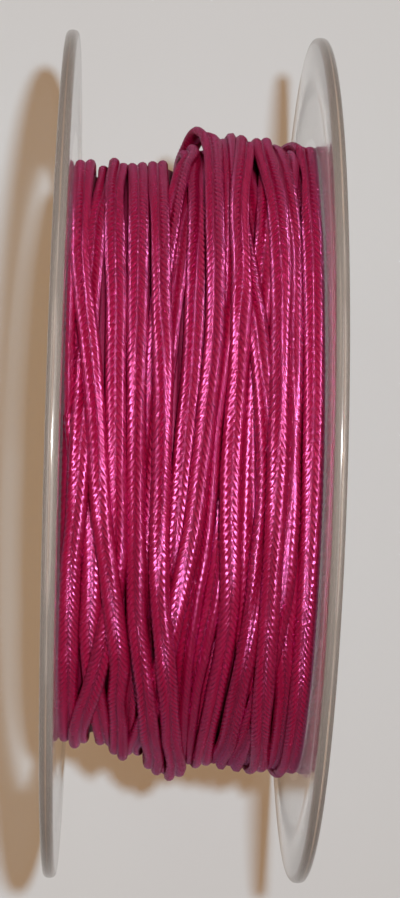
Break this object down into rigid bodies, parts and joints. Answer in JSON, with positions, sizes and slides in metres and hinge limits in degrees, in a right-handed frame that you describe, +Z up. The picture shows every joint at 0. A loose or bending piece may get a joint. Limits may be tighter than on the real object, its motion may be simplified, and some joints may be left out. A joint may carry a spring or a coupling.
{
  "type": "reel of soutache braid",
  "caption": "Clear plastic reel with two round flanges on an open hub, wound between them with a narrow two-ribbed decorative braid whose last turns slant and cross.",
  "frame": {"origin": "on the floor, midway between the flanges and straight below the reel's axis", "axes": "+X runs along the reel's axis towards the right-hand flange, +Y towards the top of the picture, +Z up, away from the floor that both rims stand on"},
  "size_m": [0.0334, 0.11, 0.1098],
  "materials": {
    "clear_plastic": "clear moulded plastic, smooth and glossy",
    "silky_braid": "magenta soutache braid of shiny rayon over two cores"
  },
  "bodies": {
    "root": {"flange_left": "clear_plastic", "flange_right": "clear_plastic", "hub": "clear_plastic", "braid_winding": "silky_braid"}
  },
  "joints": []
}
